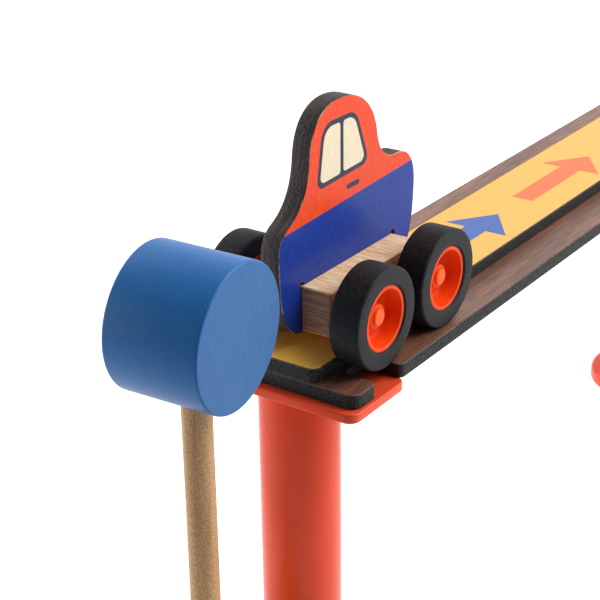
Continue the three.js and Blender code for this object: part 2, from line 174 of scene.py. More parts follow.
# %% Tent light
BACK_WALL = Vector((0.0, 1.0, 0.15)).normalized()
WALL_GLOW = 1.25
CLOTH_GLOW = 0.05
tent = bpy.data.worlds.new("white_tent")
scene.world = tent
tent.use_nodes = True
cloth = tent.node_tree
background = cloth.nodes["Background"]
direction = add(cloth, "ShaderNodeTexCoord").outputs["Generated"]
facing = add(cloth, "ShaderNodeVectorMath", {0: direction, 1: BACK_WALL}, operation="DOT_PRODUCT")
lit = add(cloth, "ShaderNodeMath", {0: facing.outputs["Value"], 1: 0.0}, operation="MAXIMUM")
add(cloth, "ShaderNodeMath", {
    0: lit.outputs[0],
    1: WALL_GLOW,
    2: CLOTH_GLOW,
}, background.inputs["Strength"], operation="MULTIPLY_ADD")
background.inputs["Color"].default_value = linear("#ffffff")
scene.view_settings.view_transform = "Standard"
print("tent glows", CLOTH_GLOW, "all round and", WALL_GLOW, "more at its back wall")

# %% Soft panels
AIM = Vector((0.0, 0.03, 0.13))


def soft_panel(name, place, width, height, watts):
    """A rectangular diffuser lamp that faces the car."""
    lamp = bpy.data.lights.new(name, "AREA")
    lamp.shape = "RECTANGLE"
    lamp.size = width
    lamp.size_y = height
    lamp.energy = watts
    panel = bpy.data.objects.new(name, lamp)
    panel.location = place
    panel.rotation_euler = (AIM - Vector(place)).to_track_quat("-Z", "Y").to_euler()
    panel.visible_camera = False
    scene.collection.objects.link(panel)
    print(name, watts, "W at", place)


soft_panel("panel_above_right", (0.58, 0.42, 1.0), 0.8, 0.8, 9.5)
soft_panel("panel_left", (-1.0, 0.1, 0.5), 0.8, 0.8, 7.8)
soft_panel("panel_front_left", (-0.88, -0.64, 0.3), 0.5, 0.6, 4.6)
soft_panel("panel_behind_right", (0.7, 0.8, 0.5), 0.35, 0.35, 2.6)
soft_panel("panel_low_right", (1.0, 0.2, 0.3), 0.6, 0.5, 0.8)

# %% [markdown]
# ## Shapes
# Nearly all of this toy is either sawn or laser-cut from board, or turned on a lathe. So two kinds of
# shape are enough: a slab raised from a flat outline, and a profile spun round an axis. Both could be
# primitives with modifiers; building them point by point keeps every corner radius a number in
# millimetres. Flat faces stay flat-shaded, so that the small rounded rims alone catch the light.

# %% Outlines
def rounded(corners, steps=6):
    """Closed outline with its corners rounded; each corner is (x, y, radius) in millimetres."""
    outline = []
    for index, (x, y, radius) in enumerate(corners):
        here = Vector((x, y))
        if not radius:
            outline.append(here)
            continue
        back = (Vector(corners[index - 1][:2]) - here).normalized()
        ahead = (Vector(corners[(index + 1) % len(corners)][:2]) - here).normalized()
        half = back.angle(ahead) / 2
        middle = here + (back + ahead).normalized() * (radius / math.sin(half))
        start = here + back * (radius / math.tan(half)) - middle
        end = here + ahead * (radius / math.tan(half)) - middle
        for step in range(steps + 1):
            outline.append(middle + radius * start.slerp(end, step / steps).normalized())
    return outline


def rectangle(x0, y0, x1, y1, radius):
    """Corners of a rectangle that share one radius."""
    return [(x0, y0, radius), (x1, y0, radius), (x1, y1, radius), (x0, y1, radius)]


print("a 10 mm square with 2 mm corners has", len(rounded(rectangle(0, 0, 10, 10, 2))), "points")

# %% Slabs
FACE, EDGE, RIM = 0, 1, 2


def slab(outline, thickness, rim, segments=3, sharp_at=None):
    """Raise an outline along Z, with rounded rims; faces, cut edge and rims take finishes of their own.

    The rim at the height sharp_at is left sharp, for a face that is glued to another.
    """
    shape = bmesh.new()
    low = [shape.verts.new((x, y, 0)) for x, y in outline]
    high = [shape.verts.new((x, y, thickness)) for x, y in outline]
    shape.faces.new(low)
    shape.faces.new(high)
    for step in range(len(low)):
        shape.faces.new((low[step - 1], low[step], high[step], high[step - 1]))
    bmesh.ops.recalc_face_normals(shape, faces=shape.faces)
    if rim:
        rims = []
        for edge in shape.edges:
            heights = {corner.co.z for corner in edge.verts}
            if len(heights) == 1 and sharp_at not in heights:
                rims.append(edge)
        bmesh.ops.bevel(
            shape, geom=rims, offset=rim, segments=segments, profile=0.5, affect="EDGES", clamp_overlap=False
        )
    shape.normal_update()
    for face in shape.faces:
        if len(face.verts) > 4:
            face.material_index = FACE
        elif abs(face.normal.z) < 0.1:
            face.material_index = EDGE
        else:
            face.material_index = RIM
    return shape


print("a slab has its face, edge and rim in finishes", FACE, EDGE, RIM)

# %% Turned shapes
LATHE_STEPS = 96


def turned(profile, steps=LATHE_STEPS):
    """Spin (radius, height) points in millimetres round Z; the profile closes on itself or on the axis."""
    shape = bmesh.new()
    rings = []
    for radius, height in profile:
        count = steps if radius > 1e-6 else 1
        angles = [2 * math.pi * step / count for step in range(count)]
        rings.append([shape.verts.new((radius * math.cos(a), radius * math.sin(a), height)) for a in angles])
    neighbours = list(zip(rings, rings[1:]))
    if len(rings[0]) > 1 and len(rings[-1]) > 1:
        neighbours.append((rings[-1], rings[0]))
    for lower, upper in neighbours:
        for step in range(steps):
            near = (lower[step % len(lower)], upper[step % len(upper)])
            far = (lower[(step + 1) % len(lower)], upper[(step + 1) % len(upper)])
            corners = list(dict.fromkeys((near[0], far[0], far[1], near[1])))
            if len(corners) > 2:
                shape.faces.new(corners)
    return shape


print("a turned shape has", LATHE_STEPS, "steps round its axis unless it asks for others")

# %% From shape to piece
SHARP = math.radians(38)
ALONG_RIGHT = Matrix.Rotation(math.radians(90), 4, "Y")
ALONG_LEFT = Matrix.Rotation(math.radians(-90), 4, "Y")


def shift(shape, turn=Matrix(), place=(0, 0, 0)):
    """Turn a shape and move it to its place in millimetres."""
    bmesh.ops.transform(shape, matrix=Matrix.Translation(place) @ turn.to_4x4(), verts=shape.verts)
    return shape


def dress(name, shape, body, finishes, stands_for=()):
    """Make a piece from a shape in millimetres, with smooth sides, and let it ride on a body."""
    bmesh.ops.recalc_face_normals(shape, faces=shape.faces)
    bmesh.ops.scale(shape, vec=(MM, MM, MM), verts=shape.verts)
    for face in shape.faces:
        face.smooth = len(face.verts) <= 4
    for edge in shape.edges:
        edge.smooth = edge.calc_face_angle(0.0) < SHARP
    mesh = bpy.data.meshes.new(name)
    shape.to_mesh(mesh)
    shape.free()
    for finish in finishes:
        mesh.materials.append(finish)
    piece = bpy.data.objects.new(name, mesh)
    scene.collection.objects.link(piece)
    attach(piece, body)
    if stands_for:
        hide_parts(*stands_for)
    print(name, "has", len(mesh.polygons), "faces and rides on", body)


print("edges sharper than", round(math.degrees(SHARP)), "degrees stay crisp")

# %% [markdown]
# ## Patterns in wood and plastic
# Wood, print and moulded plastic all vary in streaks or blotches of a known size. A noise whose space is
# stretched so that one blotch has that size in millimetres serves for all of them: long and thin for
# grain, round for mottling. An image would do as well but would need unwrapping; noise in the object's
# own space needs none. A finish is then a ground colour with coats over it, each let through by a pattern.

# %% Streaks, new finishes and coats
def streaks(tree, place, size, low=0.3, high=0.7, detail=4.0, offset=0.0):
    """Noise whose blotches measure size, three lengths in millimetres; low becomes 0 and high becomes 1."""
    stretched = add(tree, "ShaderNodeMapping", {
        "Vector": place,
        "Location": (offset, offset, offset),
        "Scale": [1 / (length * MM) for length in size],
    })
    noise = add(tree, "ShaderNodeTexNoise", {
        "Vector": stretched.outputs["Vector"],
        "Scale": 1.0,
        "Detail": detail,
        "Roughness": 0.6,
    })
    return add(tree, "ShaderNodeMapRange", {
        "Value": noise.outputs["Fac"],
        "From Min": low,
        "From Max": high,
    }).outputs["Result"]


def new_finish(name, **values):
    """Start a material; values that are the same all over it go straight onto the shader."""
    finish = bpy.data.materials.new(name)
    finish.use_nodes = True
    tree = finish.node_tree
    shader = tree.nodes["Principled BSDF"]
    for socket, value in values.items():
        shader.inputs[socket.replace("_", " ")].default_value = value
    return finish, tree, shader, add(tree, "ShaderNodeTexCoord").outputs["Object"]


MIX_FACTOR, MIX_AT_0, MIX_AT_1, MIXED_COLOUR = 0, 6, 7, 2


def coats(tree, shader, ground, *layers):
    """Colour a finish; over its ground each layer, a pattern and a colour, shows where its pattern is 0."""
    colour = ground
    for pattern, coat in layers:
        mix = {MIX_FACTOR: pattern, MIX_AT_0: coat, MIX_AT_1: colour}
        colour = add(tree, "ShaderNodeMix", mix, data_type="RGBA").outputs[MIXED_COLOUR]
    tree.links.new(colour, shader.inputs["Base Color"])


print("before the toy's finishes there are", len(bpy.data.materials), "materials")

# %% [markdown]
# ## Brown plywood
# The base board is thin plywood with a brown-stained, lacquered face, cut by laser. The face shows fine
# pores that run along the board and a soft satin gloss; the cut edge is charred nearly black, and the
# rims carry a painted highlight, a paler line. All three could share one material with masks; three
# materials on the faces of one mesh are simpler, as laser, lacquer and painted rim highlight each differ.

# %% Brown plywood face
# The lacquer gives a broad grey sheen at low angles, broken by matt pores. The pores are drawn at
# 0.45 mm, coarser than real ones, so that they show.
BROWN_PORES = (0.45, 9.0, 0.45)
brown_face, tree, shader, place = new_finish("stained_lacquered_plywood", Specular_IOR_Level=0.9)
pores = streaks(tree, place, BROWN_PORES)
figure = streaks(tree, place, (5.0, 70.0, 5.0), detail=2.0)
coats(tree, shader, "#a66c4f", (figure, "#774831"), (pores, "#523022"))
add(tree, "ShaderNodeMapRange", {
    "Value": pores,
    "To Min": 0.5,
    "To Max": 0.36,
}, shader.inputs["Roughness"])
add(tree, "ShaderNodeBump", {
    "Height": pores,
    "Distance": 0.05 * MM,
    "Strength": 0.5,
}, shader.inputs["Normal"])
print(brown_face.name, "has pores", BROWN_PORES[0], "mm wide and", BROWN_PORES[1], "mm long")

# %% Laser-charred edge
# Char is matt and speckled: soot black with grey ash, in faint layers where the plies meet. Its specks are
# drawn at 0.7 mm, coarser than the real ones, so that they show.
CHAR_SPECKS = (0.7, 0.7, 1.0)
BOARD_PLY = 0.9
charred_edge, tree, shader, place = new_finish(
    "laser_charred_plywood_edge", Roughness=0.62, Specular_IOR_Level=0.25
)
burn = streaks(tree, place, CHAR_SPECKS, 0.42, 0.64, detail=2.0)
plies = streaks(tree, place, (14.0, 14.0, BOARD_PLY), 0.7, 0.3, detail=2.0)
coats(tree, shader, "#3d3f3e", (burn, "#090a0a"), (plies, "#212222"))
add(tree, "ShaderNodeBump", {
    "Height": burn,
    "Distance": 0.12 * MM,
    "Strength": 0.7,
}, shader.inputs["Normal"])
print(charred_edge.name, "has plies", BOARD_PLY, "mm thick")

# %% Painted highlight on the rims
# A paler colour on the rims is a painted highlight: a thin light line, broken in darker patches.
RIM_HIGHLIGHT_PATCHES = (1.2, 1.2, 1.2)
rim_highlight_paint, tree, shader, place = new_finish("plywood_rim_painted_highlight", Roughness=0.6, IOR=1.47)
highlight_patches = streaks(tree, place, RIM_HIGHLIGHT_PATCHES, detail=3.0)
coats(tree, shader, "#725948", (highlight_patches, "#2d231f"))
print(rim_highlight_paint.name, "is worn in patches of", RIM_HIGHLIGHT_PATCHES[0], "mm")

# %% [markdown]
# ## Base board
# The wide lower board carries the wheels. Near the start a notch in each side lets the rear wheels drop a
# little, so that the car waits for the blow. The outline could be a boolean cut; drawing the notches into
# the outline gives their corners the round that a laser leaves.

# %% Base board
BOARD_RIM = 0.3
BASE_CORNER = 3.4
NOTCH_CORNER = 2.0
NOTCH_INNER = 18.0
NOTCH_START = 10.9
NOTCH_END = 23.5
base_low, base_high = [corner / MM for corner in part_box("track_base")]
notch_near = base_low.y + NOTCH_START
notch_far = base_low.y + NOTCH_END
side = base_high.x
right_side = [
    (side, base_low.y, BASE_CORNER),
    (side, notch_near, NOTCH_CORNER),
    (NOTCH_INNER, notch_near, NOTCH_CORNER),
    (NOTCH_INNER, notch_far, NOTCH_CORNER),
    (side, notch_far, NOTCH_CORNER),
    (side, base_high.y, BASE_CORNER),
]
left_side = [(-x, y, radius) for x, y, radius in reversed(right_side)]
base_board = slab(rounded(right_side + left_side), base_high.z - base_low.z, BOARD_RIM)
base_board = shift(base_board, place=(0, 0, base_low.z))
dress("base_board", base_board, "stand", [brown_face, charred_edge, rim_highlight_paint], ["track_base"])

# %% [markdown]
# ## Printed strip
# The narrower upper board guides the wheels. Its face is printed in warm yellow with a row of arrows in
# blue and orange; the ink lets a little of the grain show. The arrows could be masks in the material, but
# thin inked shapes on the face have crisp corners from any distance.

# %% Inks of the strip
STRIP_GRAIN = (0.5, 11.0, 0.5)


def printed_ink(name, grain_size, depth, pale, deep, **values):
    """Ink on wood: an even colour that the grain below, as deep as depth in millimetres, streaks faintly."""
    ink, tree, shader, place = new_finish(name, **values)
    grain = streaks(tree, place, grain_size)
    coats(tree, shader, pale, (grain, deep))
    add(tree, "ShaderNodeBump", {
        "Height": grain,
        "Distance": depth * MM,
        "Strength": 0.5,
    }, shader.inputs["Normal"])
    print(name, "lies over grain", min(grain_size), "mm wide")
    return ink


# Satin inks that read as flat colour from afar. The grain below is drawn at 0.5 mm, coarser than real
# grain, so that it shows.
yellow_ink = printed_ink(
    "yellow_printed_plywood", STRIP_GRAIN, 0.03, "#f2b952", "#ebad42", Roughness=0.42, IOR=1.5
)
blue_ink = printed_ink("blue_printed_ink", STRIP_GRAIN, 0.03, "#3563b2", "#2b55a4", Roughness=0.4, IOR=1.5)
orange_ink = printed_ink(
    "orange_printed_ink", STRIP_GRAIN, 0.03, "#f0722e", "#e86427", Roughness=0.4, IOR=1.5
)

# %% Strip
STRIP_CORNER = 3.0
strip_low, strip_high = [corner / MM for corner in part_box("track_strip")]
strip_outline = rounded(rectangle(strip_low.x, strip_low.y, strip_high.x, strip_high.y, STRIP_CORNER))
strip = slab(strip_outline, strip_high.z - strip_low.z, BOARD_RIM)
strip = shift(strip, place=(0, 0, strip_low.z))
strip_finishes = [yellow_ink, charred_edge, rim_highlight_paint]
dress("printed_strip", strip, "stand", strip_finishes, ["track_strip"])

# %% Arrows
INK_THICKNESS = 0.04
FIRST_ARROW = 77.9
ARROW_PITCH = 70.7
SHAFT_LENGTH = 37.2
SHAFT_HALF = 3.9
HEAD_REACH = 15.9
HEAD_HALF = 11.4
ARROW_OFFSET = 1.3
arrow = rounded([
    (-SHAFT_HALF, 0, 0),
    (SHAFT_HALF, 0, 0),
    (SHAFT_HALF, SHAFT_LENGTH, 0),
    (HEAD_HALF, SHAFT_LENGTH, 0),
    (0, SHAFT_LENGTH + HEAD_REACH, 0),
    (-HEAD_HALF, SHAFT_LENGTH, 0),
    (-SHAFT_HALF, SHAFT_LENGTH, 0),
])
for count, (colour, ink) in enumerate([("blue", blue_ink), ("orange", orange_ink), ("blue", blue_ink)]):
    tail = strip_low.y + FIRST_ARROW + count * ARROW_PITCH
    printed = shift(slab(arrow, INK_THICKNESS, 0), place=(ARROW_OFFSET, tail, strip_high.z))
    dress(f"{colour}_arrow_{count + 1}", printed, "stand", [ink] * 2)

# %% [markdown]
# ## Orange plastic pillars
# Cap, tube and foot of each pillar are injection-moulded or extruded plastic in a warm orange-red. Their
# surface is smooth and takes broad, soft reflections of the tent. The cap could be a bevelled box and the
# tube a cylinder; a slab and turned profiles give the same forms with every wall and lip as a number.

# %% Moulded orange plastic
# Smooth ABS: a warm body colour under soft reflections, which a faint waviness, as cooling plastic leaves,
# keeps from looking ruled. The specks in its gloss are drawn at 0.6 mm, coarser than the mould's texture.
PLASTIC_WAVES = (9.0, 9.0, 30.0)
orange_plastic, tree, shader, place = new_finish("moulded_orange_abs", IOR=1.53, Specular_IOR_Level=0.2)
wave = streaks(tree, place, PLASTIC_WAVES, detail=1.0)
speck = streaks(tree, place, (0.6, 0.6, 0.6), detail=2.0)
coats(tree, shader, "#e9512f", (wave, "#e24826"))
add(tree, "ShaderNodeMapRange", {
    "Value": speck,
    "To Min": 0.2,
    "To Max": 0.28,
}, shader.inputs["Roughness"])
add(tree, "ShaderNodeBump", {
    "Height": wave,
    "Distance": 0.04 * MM,
    "Strength": 0.3,
}, shader.inputs["Normal"])
print(orange_plastic.name, "has waves", PLASTIC_WAVES[0], "mm apart")

# %% Pillars
FLANGE_GAP = 0.05
FLANGE_THICKNESS = 2.9
FLANGE_CORNER = 3.5
FLANGE_RIM = 0.5
TUBE_WALL = 1.8
TUBE_EDGE = 0.3
FOOT_EDGE = 0.4
FOOT_SHOULDER = 2.0
for name in ("near_pillar", "far_pillar"):
    cap_low, cap_high = [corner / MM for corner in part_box(f"{name}_cap")]
    tube_low, tube_high = [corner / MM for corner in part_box(f"{name}_tube")]
    foot_low, foot_high = [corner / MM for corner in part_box(f"{name}_foot")]
    axis = (tube_low + tube_high) / 2
    axis.z = 0
    plate = rounded(rectangle(cap_low.x, cap_low.y, cap_high.x, cap_high.y, FLANGE_CORNER), 8)
    flange = slab(plate, FLANGE_THICKNESS, FLANGE_RIM, 4)
    flange = shift(flange, place=(0, 0, tube_high.z + FLANGE_GAP))
    dress(f"{name}_top_plate", flange, "stand", [orange_plastic] * 3, [f"{name}_cap"])
    radius = (tube_high.x - tube_low.x) / 2
    wall = rounded(rectangle(radius - TUBE_WALL, tube_low.z, radius, tube_high.z, TUBE_EDGE), 3)
    pipe = shift(turned(wall), place=axis)
    dress(f"{name}_pipe", pipe, "stand", [orange_plastic], [f"{name}_tube"])
    disc = rounded([
        (0, foot_low.z, 0),
        (foot_high.x, foot_low.z, FOOT_EDGE),
        (foot_high.x, tube_low.z, FOOT_SHOULDER),
        (0, tube_low.z, 0),
    ], 5)
    foot = shift(turned(disc), place=axis)
    dress(f"{name}_disc", foot, "stand", [orange_plastic], [f"{name}_foot"])

# %% [markdown]
# ## Car body plate
# The body is cut from two plies glued face to face, and saddles the wooden block between the wheels. Both
# faces are printed, orange above and deep blue below, under a varnish; the cut edge is charred all round,
# and a thin pale line, a painted highlight, comes and goes along its rims. The colour could be two
# pieces, but on the real plate it is one printed sheet, so one material splits along the print's own line.
# The outline is drawn with the curves of the side view.

# %% Printed body faces
# Varnish gives even, lively colours with a soft gloss. The grain below them is drawn at 0.8 mm, coarser
# than it is, so that it shows as a faint mottling.
BELT_HEIGHT = 164.455
BELT_RISE = 0.0406
BODY_GRAIN = (0.8, 0.8, 2.0)
VARNISH = {"Roughness": 0.3, "Specular_IOR_Level": 0.17}
body_print, tree, shader, place = new_finish("varnished_two_tone_print", **VARNISH)
grain = streaks(tree, place, BODY_GRAIN)
across = add(tree, "ShaderNodeSeparateXYZ", {0: place})
belt = add(tree, "ShaderNodeMath", {
    0: across.outputs["Y"],
    1: BELT_RISE,
    2: BELT_HEIGHT * MM,
}, operation="MULTIPLY_ADD")
above = add(tree, "ShaderNodeMath", {0: across.outputs["Z"], 1: belt.outputs[0]}, operation="GREATER_THAN")
tones = []
for blue, orange in (("#2243a1", "#f5511e"), ("#17348f", "#e43b11")):
    mix = {MIX_FACTOR: above.outputs[0], MIX_AT_0: blue, MIX_AT_1: orange}
    tones.append(add(tree, "ShaderNodeMix", mix, data_type="RGBA").outputs[MIXED_COLOUR])
pale, deep = tones
coats(tree, shader, pale, (grain, deep))
add(tree, "ShaderNodeBump", {
    "Height": grain,
    "Distance": 0.02 * MM,
    "Strength": 0.5,
}, shader.inputs["Normal"])
print(body_print.name, "changes colour", round(BELT_HEIGHT), "mm above the floor")

# %% Charred edge of the plate
# Browner char than on the boards, matt and speckled, with faint layers along the plies. Its specks are
# drawn at 0.7 mm, coarser than the real ones, so that they show.
PLATE_LAYER = 0.7
plate_edge, tree, shader, place = new_finish("laser_charred_plate_edge", Roughness=0.6, IOR=1.45)
burn = streaks(tree, place, (0.7, 0.9, 0.9), 0.4, 0.64, detail=2.0)
plies = streaks(tree, place, (PLATE_LAYER, 25.0, 25.0), 0.62, 0.45, detail=1.0)
coats(tree, shader, "#3b2c24", (burn, "#0b0807"), (plies, "#42322a"))
add(tree, "ShaderNodeBump", {
    "Height": burn,
    "Distance": 0.12 * MM,
    "Strength": 0.7,
}, shader.inputs["Normal"])
print(plate_edge.name, "has layers", PLATE_LAYER, "mm thick")

# %% Painted highlight on the plate's rims
# A pale colour on the rims is a painted highlight: a line that comes and goes over a few millimetres.
BODY_HIGHLIGHT_PATCHES = (5.0, 5.0, 5.0)
body_rim_highlight_paint, tree, shader, place = new_finish("painted_highlight_on_body_rims", Roughness=0.6, IOR=1.47)
highlight_patches = streaks(tree, place, BODY_HIGHLIGHT_PATCHES, 0.42, 0.66, detail=5.0)
coats(tree, shader, "#c6aa8e", (highlight_patches, "#2f241c"))
print(body_rim_highlight_paint.name, "is sanded in patches of", BODY_HIGHLIGHT_PATCHES[0], "mm")

# %% Plate outline
# Lengths along the car count from the rear axle, and heights from the lower board's top.
TAIL, NOSE, FOOT = -17.8, 52.5, 7.9
SLOT_REAR, SLOT_FRONT, SLOT_TOP = -7.05, 40.45, 21.95
BACK, FRONT, CROWN = -2.9, 31.4, 11.9
BOOT, BONNET, ROOF = 41.2, 46.9, 71.6
WAIST, BROW = (BOOT + ROOF) / 2, (BONNET + ROOF) / 2
CUTTER_RADIUS = 1.1
CUTTER_STEPS = 12


def curve(start, lean, pull, end, steps=14):
    """Points of a cubic curve after its start; it leaves towards lean and arrives from pull."""
    points = []
    for step in range(1, steps + 1):
        t = step / steps
        weights = ((1 - t) ** 3, 3 * t * (1 - t) ** 2, 3 * t * t * (1 - t), t ** 3)
        point = Vector((0, 0))
        for handle, weight in zip((start, lean, pull, end), weights):
            point += Vector(handle) * weight
        points.append(point)
    return points


plate_outline = [Vector((SLOT_REAR, FOOT))]
for lean, pull, end in [
    ((SLOT_REAR - 6, FOOT), (TAIL + 1.5, FOOT + 5.5), (TAIL + 0.5, FOOT + 14)),
    ((TAIL + 0.4, FOOT + 16), (TAIL, BOOT - 9), (TAIL, BOOT - 7.7)),
    ((TAIL, BOOT - 3.7), (TAIL + 1.5, BOOT - 1.7), (TAIL + 4.6, BOOT)),
    ((BACK - 3.7, BOOT + 3), (BACK - 0.8, WAIST - 6.5), (BACK, WAIST)),
    ((BACK + 0.6, ROOF - 5.1), (CROWN - 8.5, ROOF), (CROWN, ROOF)),
    ((CROWN + 11, ROOF), (FRONT - 1.4, BROW + 6), (FRONT, BROW - 2)),
    ((FRONT + 1.2, BONNET + 3.6), (FRONT + 4, BONNET), (FRONT + 10.5, BONNET)),
    ((NOSE - 4, BONNET), (NOSE, BONNET - 4), (NOSE, BONNET - 11.3)),
    ((NOSE - 0.2, BONNET - 20), (NOSE - 1.4, FOOT + 13.5), (NOSE - 3, FOOT + 10)),
    ((NOSE - 5, FOOT + 3), (SLOT_FRONT + 4.5, FOOT), (SLOT_FRONT, FOOT)),
]:
    plate_outline.extend(curve(plate_outline[-1], lean, pull, end))
# In each corner of the slot the cutter leaves three quarters of a circle.
for corner, first_angle in ((SLOT_FRONT, -90), (SLOT_REAR, 0)):
    for step in range(CUTTER_STEPS + 1):
        angle = math.radians(first_angle + 270 * step / CUTTER_STEPS)
        reach = Vector((math.cos(angle), math.sin(angle))) * CUTTER_RADIUS
        plate_outline.append(Vector((corner, SLOT_TOP)) + reach)
print("plate outline has", len(plate_outline), "points")

# %% Two plies
# UPRIGHT stands a flat outline up: its first axis along the track, its second up, its thickness across.
UPRIGHT = Matrix(((0, 0, 1), (1, 0, 0), (0, 1, 0)))
PLY = 3.0
HALF_SEAM = 0.025
PLY_RIM = 0.2
SLOT_MARGIN = 2.0
axle_low, axle_high = [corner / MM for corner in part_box("rear_axle")]
car_place = Vector((0, (axle_low.y + axle_high.y) / 2, base_high.z))
for name, start, seam in (("left", -HALF_SEAM - PLY, PLY), ("right", HALF_SEAM, 0.0)):
    ply = slab(plate_outline, PLY, PLY_RIM, sharp_at=seam)
    for face in ply.faces:
        middle = face.calc_center_median()
        beside_slot = SLOT_REAR - SLOT_MARGIN < middle.x < SLOT_FRONT + SLOT_MARGIN
        in_slot = beside_slot and middle.y < SLOT_TOP + SLOT_MARGIN and face.material_index == RIM
        on_seam = abs(middle.z - seam) < 1e-4
        if on_seam or in_slot:
            face.material_index = EDGE
    ply = shift(ply, UPRIGHT, car_place + Vector((start, 0, 0)))
    finishes = [body_print, plate_edge, body_rim_highlight_paint]
    dress(f"body_ply_{name}", ply, "car", finishes, [f"car_plate_{name}"])

# %% [markdown]
# ## Window print
# A plain two-pane side window with a dark frame and a short door handle is printed on each face, as on
# any simple toy car. It could be masks in the body's material; thin inked shapes that lie one on the
# other, the frame first and then the panes, have crisp rounded corners.

# %% Window inks
# The same varnish as on the body, over a warm cream and a dark slate blue.
cream_ink = printed_ink("cream_printed_ink", BODY_GRAIN, 0.02, "#f1e1c4", "#e9d6b6", **VARNISH)
slate_ink = printed_ink("slate_printed_ink", BODY_GRAIN, 0.02, "#2a3650", "#202a40", **VARNISH)

# %% Window on both faces
frame_corners = [(0.4, 47.6, 2.6), (27.2, 48.7, 2.6), (20.3, 66.0, 5.5), (3.6, 66.0, 5.5)]
rear_corners = [(2.0, 49.1, 1.8), (12.2, 49.5, 1.0), (12.2, 64.6, 1.0), (4.7, 64.6, 4.4)]
front_corners = [(13.8, 49.6, 1.0), (25.0, 50.0, 1.8), (19.4, 64.6, 4.4), (13.8, 64.6, 1.0)]
handle_corners = rectangle(15.5, 43.6, 22.0, 45.1, 0.7)
for name, ink, layers, corners in [
    ("window_frame", slate_ink, 1, frame_corners),
    ("rear_pane", cream_ink, 2, rear_corners),
    ("front_pane", cream_ink, 2, front_corners),
    ("door_handle", slate_ink, 1, handle_corners),
]:
    thickness = layers * INK_THICKNESS
    face_plane = HALF_SEAM + PLY
    for hand, plane in (("left", -face_plane - thickness), ("right", face_plane)):
        printed = shift(slab(rounded(corners), thickness, 0), UPRIGHT, car_place + Vector((plane, 0, 0)))
        dress(f"{name}_{hand}", printed, "car", [ink] * 2)

# %% [markdown]
# ## Beech block, dowel and base
# The block between the wheels, the hammer's handle and its base are plain beech: pale pinkish-tan wood
# with short dark flecks, sanded and left bare. On the block the grain runs across the car, and its sawn
# sides take a darker copy of the beech, painted shade; on the handle it runs up. One material could be
# turned by UV maps; one function that takes the fleck's three lengths makes a beech for each piece instead.

# %% Bare beech
# Bare wood is matt, warm and finely flecked. Flecks are drawn at 0.22 to 0.45 mm across, coarser than
# real ones, so that they show.
def beech(name, fleck_size, band_size, fleck, dark, light):
    """Bare beech whose flecks and growth bands have the given sizes in millimetres."""
    wood, tree, shader, place = new_finish(name, Roughness=0.58, IOR=1.47)
    fibres = streaks(tree, place, fleck_size, 0.35, 0.65)
    bands = streaks(tree, place, band_size, detail=2.0, offset=3.7)
    coats(tree, shader, light, (bands, dark), (fibres, fleck))
    add(tree, "ShaderNodeBump", {
        "Height": fibres,
        "Distance": 0.06 * MM,
        "Strength": 0.5,
    }, shader.inputs["Normal"])
    print(name, "has flecks", min(fleck_size), "mm wide and", max(fleck_size), "mm long")
    return wood


FLECK_ACROSS = (6.0, 0.35, 0.35)
BAND_ACROSS = (20.0, 1.3, 1.3)
beech_block = beech(
    "sanded_beech_block", (7.0, 0.45, 0.45), (20.0, 1.5, 1.5), "#e39f69", "#ffd9a5", "#fff4d2"
)
# The block's sides take a darker copy of the beech: painted shade.
beech_side_painted_shade = beech("painted_shade_beech_block_side", FLECK_ACROSS, BAND_ACROSS, "#9a6a4a", "#ba8967", "#e2b892")
beech_base = beech("sanded_beech_base", FLECK_ACROSS, BAND_ACROSS, "#b5865a", "#d2a474", "#ebc797")
beech_upright = beech(
    "sanded_beech_dowel", (0.22, 0.22, 0.75), (2.6, 2.6, 45.0), "#9c7247", "#c89665", "#e9c18b"
)

# %% Block
BLOCK_CORNER = 1.0
BLOCK_RIM = 0.5
block_low, block_high = [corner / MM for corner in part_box("car_chassis")]
block_outline = rounded(rectangle(block_low.x, block_low.y, block_high.x, block_high.y, BLOCK_CORNER), 3)
block = slab(block_outline, block_high.z - block_low.z, BLOCK_RIM)
block = shift(block, place=(0, 0, block_low.z))
dress("beech_block", block, "car", [beech_block, beech_side_painted_shade, beech_block], ["car_chassis"])

# %% [markdown]
# ## Wheels
# Each wheel is a moulded orange hub with a deep dish, pressed into a black rubber tyre and held on its
# steel axle by a push cap. All three are round, so their sections are turned; a dish cut from a cylinder
# would lose the small radii that make it look moulded. The tyre has a flat tread and rounded shoulders.

# %% Rubber
# Rubber is never quite black: a fine bloom gives it a broad grey sheen. Its pits are drawn at 0.7 mm,
# coarser than the real ones, so that they show.
RUBBER_PITS = (0.7, 0.7, 0.7)
rubber, tree, shader, place = new_finish("moulded_black_rubber", IOR=1.52, Specular_IOR_Level=0.15)
bloom = streaks(tree, place, (2.5, 2.5, 2.5), detail=5.0)
pits = streaks(tree, place, RUBBER_PITS, 0.3, 0.6, detail=2.0)
coats(tree, shader, "#2f2f32", (bloom, "#1e1e20"), (pits, "#141416"))
add(tree, "ShaderNodeMapRange", {
    "Value": bloom,
    "To Min": 0.48,
    "To Max": 0.62,
}, shader.inputs["Roughness"])
add(tree, "ShaderNodeBump", {
    "Height": pits,
    "Distance": 0.04 * MM,
    "Strength": 0.5,
}, shader.inputs["Normal"])
print(rubber.name, "has pits", RUBBER_PITS[0], "mm wide")

# %% Plastic of hubs and caps
def hub_plastic(name, wave_length, pale, deep, **values):
    """Moulded plastic with waves of a length in millimetres, as a small moulding cools."""
    plastic, tree, shader, place = new_finish(name, **values)
    wave = streaks(tree, place, (wave_length, wave_length, wave_length), detail=2.0)
    coats(tree, shader, pale, (wave, deep))
    add(tree, "ShaderNodeBump", {
        "Height": wave,
        "Distance": 0.03 * MM,
        "Strength": 0.3,
    }, shader.inputs["Normal"])
    print(name, "has waves", wave_length, "mm apart")
    return plastic


